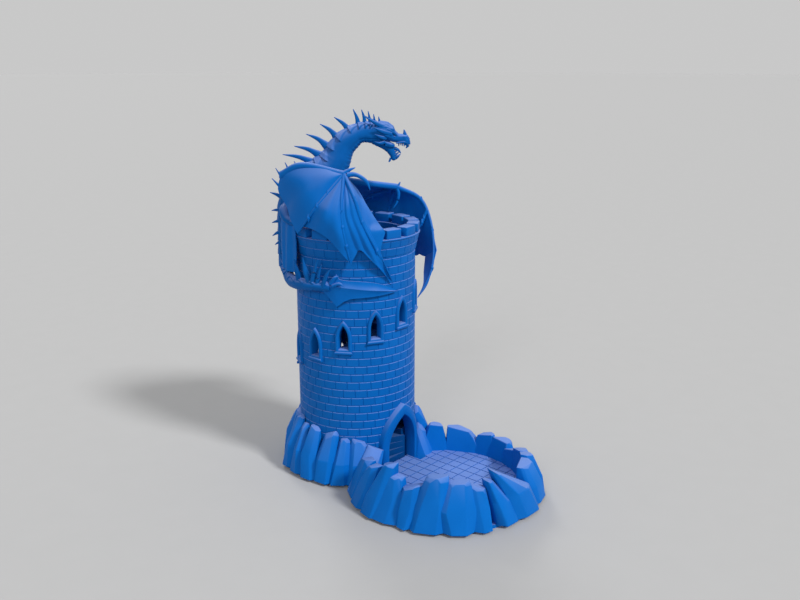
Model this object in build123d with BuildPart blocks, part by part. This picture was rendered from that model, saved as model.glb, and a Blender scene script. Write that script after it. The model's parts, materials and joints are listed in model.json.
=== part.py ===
from build123d import *
import math
import os

os.makedirs("parts", exist_ok=True)

# Castle dice tower in millimetres.
# The tower's axis is the Z axis, it stands on z = 0, and -Y is the front, with the door and the tray.
# Azimuths are degrees from +X, counted anticlockwise from above.

# Driving dimensions
wall_outer = 52.2
wall_inner = 45.5
plate_top = 3.0
floor_top = 8.0
lift_gap = 0.3
course_height = 7.05
course_start = -1.0
shell_cuts = [course_start + 10 * course_height, course_start + 19 * course_height]
tube_top = 198.0

tray_centre = -105.0
tray_plate_radius = 74.0
tray_floor_radius = 69.0
tower_plate_radius = 62.0
tile_size = 10.0
tile_groove = 0.8
groove_depth = 0.5

door_half_width = 17.3
door_spring = 26.0
door_apex = 55.5
arch_half_width = 24.5
arch_apex = 65.5
arch_front = 57.0

window_half_width = 4.0
window_height = 20.3
frame_half_width = 7.45
frame_height = 29.5
frame_front = 54.0
sill_height = 4.5
first_window_azimuth = -30.0
first_window_apex = 75.5
window_pitch = 30.0
window_rise = 8.8
window_count = 12

column_radius = 10.0
stair_outer = 45.3
step_turn = 18.75
step_rise = 5.5
step_thickness = 11.0
first_spiral_azimuth = -77.5
first_spiral_height = 35.0
spiral_steps = 27

crown_outer = 56.0
crown_inner = 42.2
skirt_radius = 45.2
skirt_bottom = 186.0
corbel_top = 211.3
ledge_top = 213.3
merlon_top = 221.0
merlon_count = 16
merlon_width = 15.0
merlon_inner = 45.5
merlon_outer = 55.5

dragon_heading = -46.4
tail_clearance = 52.8


def around(radius, azimuth, height):
    """Point at a radius and azimuth about the tower's axis."""
    angle = math.radians(azimuth)
    return Vector(radius * math.cos(angle), radius * math.sin(angle), height)


def dragon(forward, side, height):
    """Point given along the dragon's heading, to its left side and up."""
    angle = math.radians(dragon_heading)
    x = forward * math.cos(angle) - side * math.sin(angle)
    y = forward * math.sin(angle) + side * math.cos(angle)
    return Vector(x, y, height)


def taper(points, radii):
    """Add a chain of cones with ball joints, inside the part that is being built."""
    for start, end, r0, r1 in zip(points, points[1:], radii, radii[1:]):
        along = end - start
        with BuildSketch(Plane(origin=start, z_dir=along)) as near_end:
            Circle(r0)
        with BuildSketch(Plane(origin=end, z_dir=along)) as far_end:
            Circle(r1)
        loft([near_end.sketch, far_end.sketch])
    for point, radius in zip(points[1:-1], radii[1:-1]):
        with Locations(point):
            Sphere(radius)


def panels(triangles, thickness):
    """Add thin triangular plates, inside the part that is being built."""
    for corners in triangles:
        plate = Face(Wire.make_polygon(corners, close=True))
        extrude(plate, amount=thickness / 2, both=True)


def body_section(forward, height, slope, depth, width):
    """Ellipse across the dragon's body; the slope is that of the body's axis in degrees."""
    angle = math.radians(slope)
    along = dragon(math.cos(angle), 0, math.sin(angle))
    across = dragon(-math.sin(angle), 0, math.cos(angle))
    with BuildSketch(Plane(origin=dragon(forward, 0, height), x_dir=across, z_dir=along)) as section:
        Ellipse(depth, width)
    return section.sketch


def pointed_arch(half_width, bottom, spring, apex):
    """Draw a pointed arch on the current sketch, symmetric about its vertical axis."""
    rise = apex - spring
    with BuildLine() as outline:
        Polyline((-half_width, spring), (-half_width, bottom), (half_width, bottom), (half_width, spring))
        right = ThreePointArc((half_width, spring), (half_width * 0.7, spring + rise * 0.56), (0, apex))
        mirror(right, about=Plane.YZ)
    make_face(outline.edges())


def front_plane(azimuth, radius):
    """Vertical plane facing outwards at an azimuth; its x runs level and its y up."""
    return Plane(origin=around(radius, azimuth, 0), x_dir=around(1, azimuth + 90, 0), z_dir=around(1, azimuth, 0))


def save(part, name):
    part.label = name
    export_step(part, "parts/" + name + ".step")


# Base plate: one flat slab under the tower and the tray, its underside the face it stands on
with BuildPart() as base_plate:
    with BuildSketch():
        Circle(tower_plate_radius)
        with Locations((0, tray_centre)):
            Circle(tray_plate_radius)
    extrude(amount=plate_top)
save(base_plate.part, "base_plate")

# Locating disc: the tower's tube drops over it
with BuildPart() as locating_disc:
    with BuildSketch(Plane.XY.offset(plate_top)):
        Circle(wall_inner - lift_gap)
        with Locations((0, -wall_inner)):
            Rectangle(2 * wall_inner, 2.4, mode=Mode.SUBTRACT)
    extrude(amount=floor_top - plate_top)
save(locating_disc.part, "locating_disc")

# Tray floor with square tiles, running in through the doorway
with BuildPart() as tray_floor:
    with BuildSketch(Plane.XY.offset(plate_top)):
        with Locations((0, tray_centre)):
            Circle(tray_floor_radius)
        Circle(wall_outer + lift_gap, mode=Mode.SUBTRACT)
        with Locations((0, -52)):
            Rectangle(2 * arch_half_width + 4, 18, mode=Mode.SUBTRACT)
        with Locations((0, -54)):
            Rectangle(2 * door_half_width - 1, 17.5)
    extrude(amount=floor_top - plate_top)
    groove_count = int(tray_floor_radius / tile_size)
    with BuildSketch(Plane.XY.offset(floor_top)):
        for k in range(-groove_count, groove_count):
            with Locations(((k + 0.5) * tile_size, tray_centre)):
                Rectangle(tile_groove, 2 * tray_floor_radius + 20)
        for k in range(4, 18):
            with Locations((0, -(k + 0.5) * tile_size)):
                Rectangle(2 * tray_floor_radius, tile_groove)
    extrude(amount=-groove_depth, mode=Mode.SUBTRACT)
save(tray_floor.part, "tray_floor")


def rock(centre_y, azimuth, inner, outer, width, height, lean, twist):
    """Add one leaning rock slab, standing on the ground about the centre given on the Y axis."""
    radius = (inner + outer) / 2
    depth = outer - inner
    foot = around(radius, azimuth, 0) + Vector(0, centre_y, 0)
    top = around(radius - lean, azimuth + twist, height) + Vector(0, centre_y, 0)
    turned = around(1, azimuth + 90, 0)
    with BuildSketch(Plane(origin=foot, x_dir=turned)) as bottom:
        Rectangle(width, depth)
    with BuildSketch(Plane(origin=top, x_dir=turned)) as summit:
        Rectangle(width * 0.6, depth * 0.45)
    loft([bottom.sketch, summit.sketch])


def clear_of_tower():
    """Cut the room that the tube, the door arch, the plate and the floors need out of the rocks."""
    with BuildSketch() as room:
        Circle(wall_outer + 2 * lift_gap)
        with Locations((0, -48)):
            Rectangle(2 * arch_half_width + 2, 22)
    extrude(room.sketch, amount=100, mode=Mode.SUBTRACT)
    add(base_plate.part, mode=Mode.SUBTRACT)
    add(tray_floor.part, mode=Mode.SUBTRACT)


# Rocks round the tray, in four walls: azimuth, outer radius, width, height, inward lean, twist
tray_rocks = {
    "tray_rocks_left": [
        (158, 79, 22, 38, 3, -4), (173, 80, 24, 34, 4, 3), (190, 81, 24, 37, 5, -3), (206, 80, 22, 30, 3, 4)],
    "tray_rocks_front": [
        (222, 80, 24, 34, 4, -3), (239, 81, 24, 26, 3, 2), (256, 81, 26, 38, 5, 3), (274, 80, 26, 36, 4, -3)],
    "tray_rocks_right": [
        (292, 80, 26, 35, 4, 3), (310, 80, 26, 37, 5, -4), (328, 80, 24, 33, 3, 3), (345, 81, 24, 36, 5, 2)],
    "tray_rocks_rear": [
        (0, 80, 22, 33, 4, -3), (14, 79, 20, 37, 5, 3), (27, 78, 18, 34, 4, -2)],
}
rock_walls = []
for wall_name, wall_rocks in tray_rocks.items():
    with BuildPart() as rock_wall:
        for azimuth, outer, width, height, lean, twist in wall_rocks:
            rock(tray_centre, azimuth, 67, outer, width, height, lean, twist)
        clear_of_tower()
        for earlier in rock_walls:
            add(earlier, mode=Mode.SUBTRACT)
    rock_walls.append(rock_wall.part)
    save(rock_wall.part, wall_name)

# Rocks round the tower's foot, leaning against the tube
tower_rocks = {
    "tower_rocks_left": [
        (176, 70, 17, 41, 7, 2), (190, 69, 17, 42, 6, -2), (204, 70, 17, 40, 7, 3), (218, 70, 18, 38, 6, -2)],
    "tower_rocks_rear": [
        (64, 69, 17, 40, 6, 2), (78, 70, 17, 43, 7, -3), (92, 69, 17, 41, 6, 3), (106, 70, 17, 44, 7, -2),
        (120, 69, 17, 42, 6, 2), (134, 70, 17, 40, 7, -3), (148, 69, 17, 44, 6, 3), (162, 69, 17, 42, 6, -2)],
    "tower_rocks_right": [
        (-34, 70, 17, 43, 7, 2), (-20, 69, 17, 41, 6, -3), (-6, 70, 17, 44, 7, 2), (8, 69, 17, 40, 6, 3),
        (22, 70, 17, 43, 7, -2), (36, 69, 17, 41, 6, 3), (50, 70, 17, 42, 7, -3)],
}
for wall_name, wall_rocks in tower_rocks.items():
    with BuildPart() as rock_wall:
        for azimuth, outer, width, height, lean, twist in wall_rocks:
            rock(0, azimuth, 53, outer, width, height, lean, twist)
        clear_of_tower()
        for earlier in rock_walls:
            add(earlier, mode=Mode.SUBTRACT)
    rock_walls.append(rock_wall.part)
    save(rock_wall.part, wall_name)

# Door arch: a thick pointed frame through the wall, proud of it in front
with BuildPart() as door_arch:
    with BuildSketch(Plane.XZ.offset(wall_inner - 6)):
        pointed_arch(arch_half_width, plate_top, door_spring, arch_apex)
    extrude(amount=20)
    with BuildSketch(Plane.XZ.offset(wall_inner - 7)):
        pointed_arch(door_half_width, plate_top - 1, door_spring, door_apex)
    extrude(amount=24, mode=Mode.SUBTRACT)
    with BuildSketch(Plane.XY):
        Circle(arch_front)
        Circle(wall_inner, mode=Mode.SUBTRACT)
    extrude(amount=100, mode=Mode.INTERSECT)
save(door_arch.part, "door_arch")

# Window frames: pointed frames through the wall with a sill, climbing round the tower with the stair
window_frames = []
for k in range(window_count):
    azimuth = first_window_azimuth + k * window_pitch
    apex = first_window_apex + k * window_rise
    foot = apex - frame_height
    with BuildPart() as window_frame:
        with BuildSketch(front_plane(azimuth, wall_inner - 3)):
            pointed_arch(frame_half_width, foot, foot + 13, apex)
        extrude(amount=14)
        with BuildSketch(front_plane(azimuth, wall_inner - 4)):
            opening_foot = foot + sill_height
            pointed_arch(window_half_width, opening_foot, opening_foot + 9, opening_foot + window_height)
        extrude(amount=16, mode=Mode.SUBTRACT)
        with BuildSketch(Plane.XY.offset(foot - 1)):
            Circle(frame_front)
            Circle(wall_inner, mode=Mode.SUBTRACT)
        extrude(amount=frame_height + 2, mode=Mode.INTERSECT)
    window_frames.append(window_frame.part)
    save(window_frame.part, "window_frame_%02d" % (k + 1))

# Tower tube in three lengths that meet at mortar lines
shell_levels = [plate_top, *shell_cuts, tube_top]
shell_names = ["tower_shell_lower", "tower_shell_middle", "tower_shell_upper"]
for name, bottom, top in zip(shell_names, shell_levels, shell_levels[1:]):
    with BuildPart() as tower_shell:
        with BuildSketch(Plane.XY.offset(bottom)):
            Circle(wall_outer)
            Circle(wall_inner, mode=Mode.SUBTRACT)
        extrude(amount=top - bottom)
        with BuildSketch(Plane.XZ.offset(wall_inner - 7)):
            pointed_arch(arch_half_width, plate_top - 1, door_spring, arch_apex)
        extrude(amount=24, mode=Mode.SUBTRACT)
        for k in range(window_count):
            apex = first_window_apex + k * window_rise
            foot = apex - frame_height
            with BuildSketch(front_plane(first_window_azimuth + k * window_pitch, wall_inner - 4)):
                pointed_arch(frame_half_width, foot, foot + 13, apex)
            extrude(amount=16, mode=Mode.SUBTRACT)
    save(tower_shell.part, name)

# Central column of the stair
spiral_top = first_spiral_height + spiral_steps * step_rise
with BuildPart() as stair_column:
    with BuildSketch(Plane.XY.offset(floor_top)):
        Circle(column_radius)
    extrude(amount=spiral_top - floor_top)
save(stair_column.part, "stair_column")

# Winding steps behind the door: distance of the nosing from the axis, its outward azimuth and its height
winders = [(46.2, -90, 13.5), (38, -105, 18.8), (28, -122, 24.2), (15, -140, 29.6)]
with BuildPart() as stair_winders:
    for distance, azimuth, height in winders:
        with BuildSketch(Plane.XY.offset(floor_top)):
            with BuildLine():
                side = azimuth + 90
                a = around(distance, azimuth, 0) + around(60, side, 0)
                b = around(distance, azimuth, 0) - around(60, side, 0)
                c = around(-60, azimuth, 0) - around(60, side, 0)
                d = around(-60, azimuth, 0) + around(60, side, 0)
                Polyline(a, b, c, d, close=True)
            make_face()
            Circle(stair_outer, mode=Mode.INTERSECT)
            Circle(column_radius, mode=Mode.SUBTRACT)
        extrude(amount=height - floor_top)
    with BuildSketch(Plane.XY.offset(floor_top)):
        with BuildLine():
            start = around(70, first_spiral_azimuth, 0)
            end = around(70, first_spiral_azimuth - 150, 0)
            Polyline((0, 0), start, around(70, first_spiral_azimuth - 50, 0),
                     around(70, first_spiral_azimuth - 100, 0), end, close=True)
        make_face()
    extrude(amount=60, mode=Mode.INTERSECT)
save(stair_winders.part, "stair_winders")


def spiral_step(k):
    """Add one spiral step: a thick sector of a ring."""
    turn = first_spiral_azimuth + k * step_turn
    top = first_spiral_height + k * step_rise
    bottom = max(floor_top, top - step_thickness)
    with BuildSketch(Plane.XY.offset(bottom)) as sector:
        with BuildLine():
            Polyline((0, 0), around(60, turn, 0), around(60, turn + step_turn, 0), close=True)
        make_face()
        Circle(stair_outer, mode=Mode.INTERSECT)
        Circle(column_radius, mode=Mode.SUBTRACT)
    extrude(sector.sketch, amount=top - bottom)


flights = {"stair_flight_lower": range(0, 9), "stair_flight_middle": range(9, 18),
           "stair_flight_upper": range(18, 27)}
earlier_flights = [stair_winders.part]
for name, steps in flights.items():
    with BuildPart() as stair_flight:
        for k in steps:
            spiral_step(k)
        for earlier in earlier_flights:
            add(earlier, mode=Mode.SUBTRACT)
    earlier_flights.append(stair_flight.part)
    save(stair_flight.part, name)

# Crown: a skirt that drops inside the tube, a flared corbel, a ledge and sixteen merlons
with BuildPart() as crown_skirt:
    with BuildSketch(Plane.XY.offset(skirt_bottom)):
        Circle(skirt_radius)
        Circle(crown_inner, mode=Mode.SUBTRACT)
    extrude(amount=tube_top - skirt_bottom)
save(crown_skirt.part, "crown_skirt")

with BuildPart() as crown_corbel:
    with BuildSketch(Plane.XZ):
        Polygon((crown_inner, tube_top), (wall_outer, tube_top), (crown_outer - 0.4, corbel_top),
                (crown_inner, corbel_top), align=None)
    revolve(axis=Axis.Z)
save(crown_corbel.part, "crown_corbel")

with BuildPart() as crown_ledge:
    with BuildSketch(Plane.XY.offset(corbel_top)):
        Circle(crown_outer)
        Circle(crown_inner, mode=Mode.SUBTRACT)
    extrude(amount=ledge_top - corbel_top)
    fillet(crown_ledge.edges().filter_by(GeomType.CIRCLE).group_by(SortBy.RADIUS)[-1], radius=0.8)
save(crown_ledge.part, "crown_ledge")

with BuildPart() as merlons:
    with BuildSketch(Plane.XY.offset(ledge_top)):
        with PolarLocations((merlon_inner + merlon_outer) / 2, merlon_count, start_angle=-78.75):
            Rectangle(merlon_outer - merlon_inner, merlon_width)
    extrude(amount=merlon_top - ledge_top)
    chamfer(merlons.faces().filter_by(Axis.Z).group_by(Axis.Z)[-1].edges(), length=0.8)
save(merlons.part, "merlons")

crown_parts = [crown_corbel.part, crown_ledge.part, merlons.part]


def clear_of(parts):
    """Cut pieces that are already made out of the part that is being built."""
    for piece in parts:
        add(piece, mode=Mode.SUBTRACT)


# Dragon's body: chest above the crown, back over its edge, hips outside it
with BuildPart() as dragon_torso:
    loft([
        body_section(-13, 259, 165, 10, 10),
        body_section(-26, 260, 178, 13, 12),
        body_section(-40, 255, 205, 13.5, 12),
        body_section(-51, 244, 235, 12, 11),
        body_section(-57.3, 231, 258, 7.6, 10),
        body_section(-61, 219, 268, 4.2, 9),
        body_section(-61.3, 203, 270, 4.4, 8),
        body_section(-61.8, 192, 272, 4.8, 6),
    ])
    clear_of(crown_parts)
save(dragon_torso.part, "dragon_torso")

with BuildPart() as dragon_neck:
    loft([
        body_section(-19, 264, 75, 14, 10.5),
        body_section(-16, 275, 70, 13, 9.5),
        body_section(-10, 285, 55, 10.5, 8.5),
        body_section(-2, 292, 30, 8.6, 7.5),
        body_section(8, 295.7, 2, 7.6, 6.5),
        body_section(18, 295.5, -8, 8.6, 6.8),
    ])
    clear_of([dragon_torso.part])
save(dragon_neck.part, "dragon_neck")

with BuildPart() as dragon_head:
    loft([
        body_section(18, 295.5, -8, 8.6, 6.8),
        body_section(26, 295.5, -20, 7.6, 7.4),
        body_section(33, 291.5, -12, 4.6, 5.6),
        body_section(40, 290.4, -5, 3.2, 4.2),
        body_section(45, 288.5, -25, 2.8, 2.8),
    ])
save(dragon_head.part, "dragon_head")

with BuildPart() as dragon_jaw:
    loft([
        body_section(22, 287, -30, 4.5, 5.5),
        body_section(31, 280, -58, 3.6, 4.6),
        body_section(34, 274.6, -30, 2.6, 3.4),
        body_section(38.6, 276.4, 25, 0.9, 1.4),
    ])
    clear_of([dragon_head.part, dragon_neck.part])
save(dragon_jaw.part, "dragon_jaw")

with BuildPart() as dragon_tongue:
    taper([dragon(31, 0, 283.6), dragon(36, 0, 283.8), dragon(39.2, 0, 280.2)], [1.6, 1.4, 0.5])
    clear_of([dragon_head.part, dragon_jaw.part])
save(dragon_tongue.part, "dragon_tongue")

# Horns on the skull and the snout, on both sides of the head
horn_lines = [
    ((27, 299, 4), (9.3, 309.3, 5.5), 2.0), ((27, 296.5, 6), (14.3, 303.5, 8), 1.8),
    ((28, 293.5, 6.4), (17.6, 300.2, 9), 1.7), ((26, 290.5, 6), (17.6, 293.9, 8.5), 1.5)]
with BuildPart() as dragon_horns:
    for root, tip, radius in horn_lines:
        for side in (-1, 1):
            start = dragon(root[0], side * root[2], root[1])
            taper([start, dragon(tip[0], side * tip[2], tip[1])], [radius, 0.3])
    taper([dragon(43.2, 0, 290), dragon(42.6, 0, 298.1)], [1.8, 0.3])
    clear_of([dragon_head.part, dragon_neck.part, dragon_jaw.part])
save(dragon_horns.part, "dragon_horns")

# Spines down the neck and the back: foot and tip along the heading and up
neck_spine_lines = [
    ((-36, 271), (-60.8, 278.1), 2.6), ((-29, 278), (-50.9, 285.1), 2.6), ((-24, 285), (-40.5, 295.1), 2.6),
    ((-15, 292), (-28.6, 303.4), 2.5), ((-4.5, 298), (-16.7, 309.1), 2.5), ((2.5, 300), (-0.6, 315.7), 2.3),
    ((8.2, 302), (6.5, 315.2), 2.0), ((13, 302.5), (12, 314), 1.6), ((17, 302.5), (16.6, 311.5), 1.4),
    ((21, 302), (20.8, 309.4), 1.3)]
back_spine_lines = [
    ((-46, 264), (-51.3, 272.5), 1.5), ((-53, 258), (-59, 271.5), 1.6), ((-58, 252), (-67.1, 266.7), 1.6),
    ((-61, 247), (-70.6, 258), 1.7), ((-61, 240), (-72.6, 245), 2.2), ((-62, 230.5), (-71.9, 230.5), 2.1),
    ((-62.5, 220.5), (-71.9, 219.5), 2.1), ((-62.5, 211), (-71.9, 208.4), 2.1), ((-63, 203), (-70, 200.5), 1.8)]


def spines(lines):
    for root, tip, radius in lines:
        taper([dragon(root[0], 0, root[1]), dragon(tip[0], 0, tip[1])], [radius, 0.35])


with BuildPart() as neck_spines:
    spines(neck_spine_lines)
    clear_of([dragon_torso.part, dragon_neck.part, dragon_head.part, dragon_horns.part])
save(neck_spines.part, "neck_spines")

with BuildPart() as back_spines:
    spines(back_spine_lines)
    clear_of([dragon_torso.part])
save(back_spines.part, "back_spines")

# Tail: down from the hips and round the tube towards the door side, standing off the wall
tail_stations = [(61.6, 133.6, 192, 4.8), (60.8, 136.5, 184.5, 5), (59.6, 143, 177.5, 5), (58.8, 153, 173.6, 4.9),
                 (58, 167, 173, 4.6), (57.4, 182, 174, 4.2), (56.9, 197, 175, 3.8), (56.2, 210, 175.5, 3)]
with BuildPart() as dragon_tail:
    tail_points = [around(radius, azimuth, height) for radius, azimuth, height, size in tail_stations]
    tail_sizes = [size for radius, azimuth, height, size in tail_stations]
    taper(tail_points, tail_sizes)
    with BuildSketch(Plane.XY.offset(150)):
        Circle(tail_clearance)
    extrude(amount=47, mode=Mode.SUBTRACT)
    clear_of([dragon_torso.part, back_spines.part])
save(dragon_tail.part, "dragon_tail")

# Leaf blade at the tail's end, bent round the tube: azimuth and height of its outline
blade_middle = -128.0
blade_outline = [(-158, 169), (-153.4, 158), (-142, 164.5), (-129, 165.7), (-115.5, 166.4), (-98, 168.6),
                 (-110.6, 175.3), (-124.4, 178.6), (-141.6, 180), (-153.7, 185), (-158, 179)]
with BuildPart() as tail_blade:
    with BuildSketch(front_plane(blade_middle, 20)):
        with BuildLine():
            flat = [(54.5 * math.sin(math.radians(a - blade_middle)), z) for a, z in blade_outline]
            Polyline(*flat, close=True)
        make_face()
    extrude(amount=45)
    with BuildSketch(Plane.XY.offset(150)):
        Circle(56.4)
        Circle(tail_clearance, mode=Mode.SUBTRACT)
    extrude(amount=50, mode=Mode.INTERSECT)
    clear_of([dragon_tail.part])
save(tail_blade.part, "tail_blade")

tail_spine_lines = [((61, 141, 178), (63, 143, 189), 1.4), ((59.5, 152, 176), (61, 153, 193), 1.9),
                    ((58.6, 163, 176), (60.5, 160, 194), 1.9), ((57.8, 176, 176), (60, 178, 195), 1.9),
                    ((57.2, 188, 177), (59.5, 194, 189), 1.7)]
with BuildPart() as tail_spines:
    for root, tip, radius in tail_spine_lines:
        taper([around(*root), around(*tip)], [radius, 0.35])
    clear_of([dragon_tail.part, dragon_torso.part])
save(tail_spines.part, "tail_spines")

# Hind legs gripping the crown's ledge
with BuildPart() as hind_legs:
    for side in (-1, 1):
        hip = dragon(-59, side * 9, 232)
        knee = dragon(-58.5, side * 20, 225)
        ankle = dragon(-51, side * 26, 223.5)
        taper([hip, knee, ankle], [5, 3.6, 2.4])
    clear_of([dragon_torso.part, *crown_parts])
save(hind_legs.part, "hind_legs")

with BuildPart() as hind_claws:
    for side in (-1, 1):
        for spread in (-4, 0, 4):
            root = dragon(-51 + spread * 0.5, side * (26 + spread * 0.5), 223.5)
            knuckle = dragon(-46 + spread, side * (29 + spread * 0.8), 223.6)
            taper([root, knuckle, dragon(-41 + spread, side * (31 + spread), 221.9)], [1.6, 1.3, 0.5])
    clear_of([hind_legs.part, *crown_parts])
save(hind_claws.part, "hind_claws")

# Left wing of the picture plane is the near one: arm, finger bones, membrane and claws of each wing
near_shoulder = (-42, -8, 257)
near_elbow = (-61, -21, 262)
near_forearm = (-42, -32, 271)
near_wrist = (-9, -46, 266)
near_fingers = [
    [near_wrist, (-25, -52.5, 247), (-35, -51, 236), (-48, -41, 218)],
    [near_wrist, (-11.5, -60, 237.5), (-8.5, -61, 216), (-4, -57, 196)],
    [near_wrist, (0, -58, 247.5), (5.5, -59.5, 230), (17, -55.5, 206), (31, -44.5, 177)]]
far_shoulder = (-42, 8, 257)
far_elbow = (-38, 28, 257)
far_forearm = (0, 30, 251)
far_wrist = (38, 38, 244)
far_fingers = [
    [far_wrist, (10, 58, 232), (-8, 61, 218), (-20, 57, 203)],
    [far_wrist, (33, 58, 228), (31, 57, 212), (27, 54, 196)],
    [far_wrist, (52, 42, 237), (65.6, 38, 223.5), (71, 27, 200), (73, 20, 190), (68.5, 14, 174.7),
     (63.6, 8, 160.4), (54.6, 4, 150)]]
near_panels = [
    [near_elbow, near_wrist, near_fingers[0][1]], [near_elbow, near_fingers[0][1], near_fingers[0][3]],
    [near_elbow, near_fingers[0][3], (-54, -25, 237)],
    [near_wrist, near_fingers[0][2], (-31, -54, 222)], [near_wrist, (-31, -54, 222), near_fingers[1][2]],
    [(-31, -54, 222), near_fingers[1][2], near_fingers[1][3]],
    [near_wrist, near_fingers[1][2], near_fingers[2][2]], [near_fingers[1][2], near_fingers[2][2], (2, -59, 207)],
    [near_fingers[2][2], (2, -59, 207), near_fingers[2][3]], [near_wrist, near_fingers[2][2], (24, -53.5, 220)],
    [near_fingers[2][2], near_fingers[2][3], (24, -53.5, 220)]]
far_panels = [
    [far_forearm, far_wrist, far_fingers[0][1]], [far_forearm, far_fingers[0][1], far_elbow],
    [far_elbow, far_fingers[0][1], far_fingers[0][3]],
    [far_wrist, far_fingers[0][2], (6, 61, 209)], [far_wrist, (6, 61, 209), far_fingers[1][2]],
    [far_wrist, far_fingers[1][2], far_fingers[2][2]],
    [far_fingers[1][2], far_fingers[2][2], (46, 40, 198)], [far_fingers[2][2], (46, 40, 198), far_fingers[2][3]],
    [(46, 40, 198), far_fingers[2][3], (54.6, 24, 187)], [far_fingers[2][3], (54.6, 24, 187), far_fingers[2][5]]]
wing_data = {
    "near_wing": (near_shoulder, near_elbow, near_forearm, near_wrist, near_fingers, near_panels,
                  [[(-9, -46, 266), (-3, -46.5, 269), (0.5, -46, 271.5)],
                   [(-6, -47, 265), (4.3, -50, 264.7), (9.8, -52, 260.9), (11.8, -52, 255.3)]]),
    "far_wing": (far_shoulder, far_elbow, far_forearm, far_wrist, far_fingers, far_panels,
                 [[(38, 38, 244), (41, 38, 248.5)], [(38, 38, 244), (38.5, 37, 238), (35.3, 36, 226.8)]]),
}
for wing_name, data in wing_data.items():
    shoulder, elbow, forearm, wrist, fingers, membrane_panels, claws = data
    with BuildPart() as wing_arm:
        taper([dragon(*p) for p in (shoulder, elbow, forearm, wrist)], [4.2, 3, 2.8, 2.6])
        clear_of([dragon_torso.part, dragon_neck.part, back_spines.part])
    save(wing_arm.part, wing_name + "_arm")
    with BuildPart() as wing_fingers:
        for finger in fingers:
            sizes = [1.8 - 1.1 * i / (len(finger) - 1) for i in range(len(finger))]
            taper([dragon(*p) for p in finger], sizes)
        clear_of([wing_arm.part, *crown_parts])
    save(wing_fingers.part, wing_name + "_fingers")
    with BuildPart() as wing_claws:
        for claw in claws:
            sizes = [1.7 - 1.3 * i / (len(claw) - 1) for i in range(len(claw))]
            taper([dragon(*p) for p in claw], sizes)
        clear_of([wing_arm.part, wing_fingers.part])
    save(wing_claws.part, wing_name + "_claws")
    with BuildPart() as wing_membrane:
        panels([[dragon(*p) for p in corners] for corners in membrane_panels], 1.2)
        clear_of([wing_arm.part, wing_fingers.part, wing_claws.part, dragon_torso.part, back_spines.part])
        clear_of([hind_legs.part, hind_claws.part, *crown_parts])
    save(wing_membrane.part, wing_name + "_membrane")
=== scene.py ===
import json
import math
import random

import bpy
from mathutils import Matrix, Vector

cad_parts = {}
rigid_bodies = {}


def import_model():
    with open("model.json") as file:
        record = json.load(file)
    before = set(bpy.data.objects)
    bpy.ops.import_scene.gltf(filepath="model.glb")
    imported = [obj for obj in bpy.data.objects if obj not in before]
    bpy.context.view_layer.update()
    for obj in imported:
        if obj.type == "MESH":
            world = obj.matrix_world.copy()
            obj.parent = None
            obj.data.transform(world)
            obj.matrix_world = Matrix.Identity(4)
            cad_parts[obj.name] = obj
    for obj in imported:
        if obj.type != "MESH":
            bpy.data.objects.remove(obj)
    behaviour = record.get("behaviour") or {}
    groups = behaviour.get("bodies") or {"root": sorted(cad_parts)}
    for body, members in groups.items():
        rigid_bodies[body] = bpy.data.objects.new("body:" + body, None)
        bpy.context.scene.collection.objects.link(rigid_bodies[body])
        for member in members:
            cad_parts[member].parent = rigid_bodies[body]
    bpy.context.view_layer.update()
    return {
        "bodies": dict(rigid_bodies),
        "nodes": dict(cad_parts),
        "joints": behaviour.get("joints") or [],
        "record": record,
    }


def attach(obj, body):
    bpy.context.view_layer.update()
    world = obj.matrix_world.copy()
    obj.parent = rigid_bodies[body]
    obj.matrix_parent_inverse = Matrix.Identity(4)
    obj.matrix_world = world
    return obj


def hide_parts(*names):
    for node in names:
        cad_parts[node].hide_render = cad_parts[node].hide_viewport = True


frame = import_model()
mm = 0.001
dragonHeading = math.radians(-46.4)  # the way the dragon looks, as an azimuth

def polar(radius, azimuth, height=0.0):  # millimetres and degrees about the tower's axis
    angle = math.radians(azimuth)
    return Vector((radius * math.cos(angle), radius * math.sin(angle), height)) * mm


def dragonPoint(forward, side, height):  # millimetres along the heading, to the left, up
    x = forward * math.cos(dragonHeading) - side * math.sin(dragonHeading)
    y = forward * math.sin(dragonHeading) + side * math.cos(dragonHeading)
    return Vector((x, y, height)) * mm


def deselectAll():
    if bpy.context.object and bpy.context.object.mode != "OBJECT":
        bpy.ops.object.mode_set(mode="OBJECT")
    bpy.ops.object.select_all(action="DESELECT")


def activate(piece):
    deselectAll()
    piece.select_set(True)
    bpy.context.view_layer.objects.active = piece


def settle(piece):  # its place goes into its mesh
    activate(piece)
    bpy.ops.object.transform_apply(location=True, rotation=True, scale=True)


def modify(piece, kind, **settings):
    activate(piece)
    bpy.ops.object.modifier_add(type=kind)
    modifier = piece.modifiers[-1]
    for key, value in settings.items():
        setattr(modifier, key, value)
    bpy.ops.object.modifier_apply(modifier=modifier.name)


def cleanNormals(piece):
    activate(piece)
    bpy.ops.object.mode_set(mode="EDIT")
    bpy.ops.mesh.select_all(action="SELECT")
    bpy.ops.mesh.remove_doubles(threshold=0.01 * mm)
    bpy.ops.mesh.normals_make_consistent(inside=False)
    bpy.ops.object.mode_set(mode="OBJECT")


def fillHoles(piece):
    activate(piece)
    bpy.ops.object.mode_set(mode="EDIT")
    bpy.ops.mesh.select_all(action="DESELECT")
    bpy.ops.mesh.select_mode(type="EDGE")
    bpy.ops.mesh.select_all(action="SELECT")
    bpy.ops.mesh.fill_holes(sides=0)
    bpy.ops.object.mode_set(mode="OBJECT")


def joined(pieces, name):
    activate(pieces[0])
    for piece in pieces:
        piece.select_set(True)
    if len(pieces) > 1:
        bpy.ops.object.join()
    result = bpy.context.object
    result.name = name
    return result


def softened(piece, angle):
    activate(piece)
    bpy.ops.object.shade_smooth_by_angle(angle=math.radians(angle))
    return piece


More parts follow.
